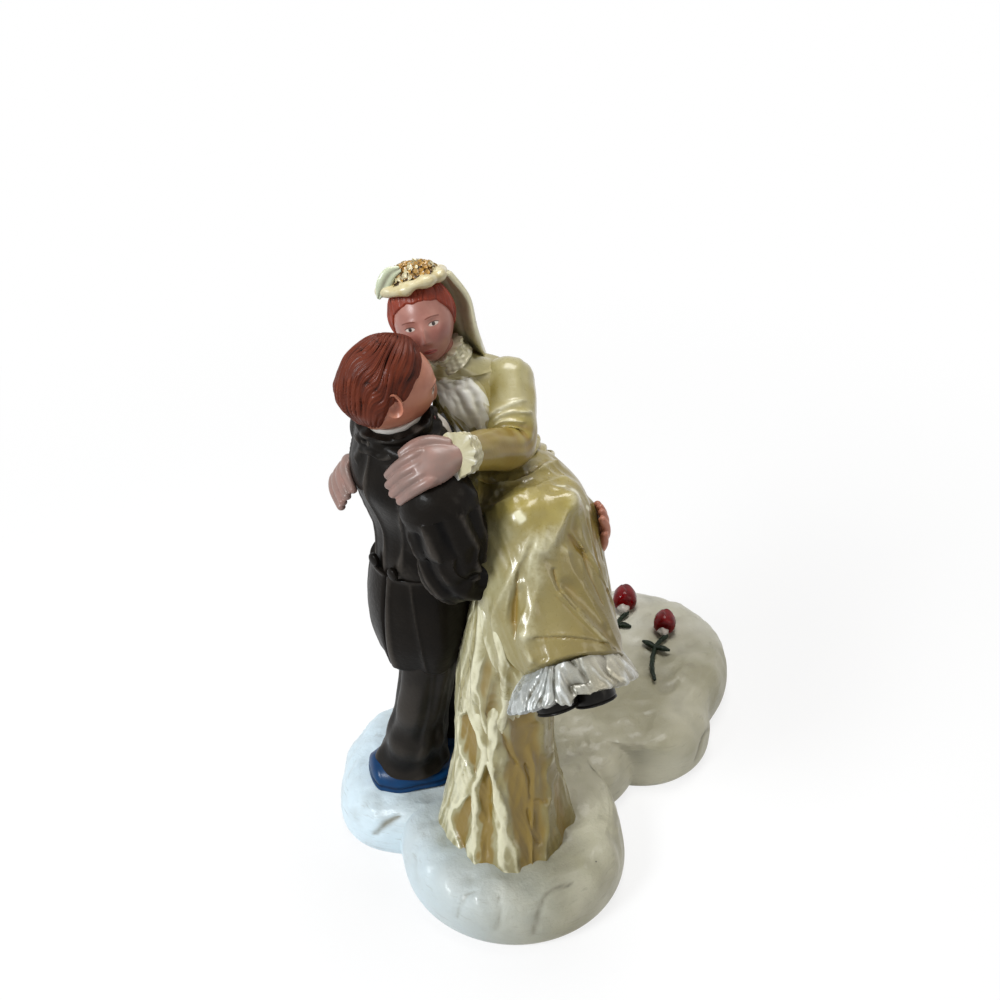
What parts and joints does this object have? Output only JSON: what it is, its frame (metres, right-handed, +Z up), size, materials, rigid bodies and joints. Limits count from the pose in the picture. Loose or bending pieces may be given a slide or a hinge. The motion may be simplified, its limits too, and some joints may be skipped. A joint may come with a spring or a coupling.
{
  "type": "wedding cake topper",
  "caption": "Painted figurine of a groom in a dark coat carrying a bride in a long gown and veil, on a flat-bottomed white cloud base with red roses.",
  "frame": {"origin": "middle of the flat underside of the base", "axes": "+Z up, -Y toward the viewer of the picture, +X to the right in the picture"},
  "size_m": [0.0912, 0.103, 0.1244],
  "materials": {
    "base_white": "satin white paint with a grey wash",
    "rose_red": "gloss red paint",
    "rose_calyx": "satin ivory paint",
    "rose_green": "satin dark green paint",
    "shoe_blue": "satin blue paint",
    "boot_black": "gloss black paint",
    "groom_skin": "satin flesh paint",
    "bride_skin": "satin flesh paint",
    "trouser_black": "gloss brown-black paint",
    "shirt_white": "satin white paint",
    "tie_wine": "satin wine-red paint",
    "coat_black": "gloss brown-black paint",
    "auburn_hair": "gloss auburn paint",
    "gown_champagne": "pearl champagne paint with an ochre wash",
    "lace_white": "pearl white paint",
    "petticoat_pearl": "silvery pearl paint",
    "copper_hair": "satin copper-red paint",
    "blossom_cream": "cream and gold paint"
  },
  "bodies": {
    "root": {"cloud_base": "base_white", "rose_near_bloom": "rose_red", "rose_near_calyx": "rose_calyx", "rose_near_stem": "rose_green", "rose_near_leaf_left": "rose_green", "rose_near_leaf_right": "rose_green", "rose_far_bloom": "rose_red", "rose_far_calyx": "rose_calyx", "rose_far_stem": "rose_green", "rose_far_leaf_left": "rose_green", "rose_far_leaf_right": "rose_green", "groom_right_shoe": "shoe_blue", "groom_left_shoe": "shoe_blue", "bride_left_boot": "boot_black", "bride_right_boot": "boot_black", "groom_head": "groom_skin", "bride_head": "bride_skin", "groom_right_ear": "groom_skin", "groom_left_ear": "groom_skin", "groom_right_trouser_leg": "trouser_black", "groom_left_trouser_leg": "trouser_black", "groom_shirt_collar": "shirt_white", "groom_bow_tie": "tie_wine", "groom_coat": "coat_black", "groom_shirt_front": "shirt_white", "groom_coat_skirt": "coat_black", "groom_back_button_right": "coat_black", "groom_back_button_left": "coat_black", "groom_coat_collar": "coat_black", "groom_right_sleeve": "coat_black", "groom_left_sleeve": "coat_black", "groom_right_shirt_cuff": "shirt_white", "groom_left_shirt_cuff": "shirt_white", "groom_hair": "auburn_hair", "bride_bodice": "gown_champagne", "bride_lace_bib": "lace_white", "bride_lace_collar": "lace_white", "bride_waist_sash": "gown_champagne", "bride_skirt": "gown_champagne", "bride_petticoat_ruffle": "petticoat_pearl", "bride_train": "gown_champagne", "bride_left_hand": "bride_skin", "bride_right_hand": "bride_skin", "groom_right_hand": "groom_skin", "groom_left_hand": "groom_skin", "bride_left_lace_cuff": "lace_white", "bride_right_lace_cuff": "lace_white", "bride_left_sleeve": "gown_champagne", "bride_right_sleeve": "gown_champagne", "bride_hair": "copper_hair", "bride_flower_crown": "blossom_cream", "bride_veil": "gown_champagne"}
  },
  "joints": []
}
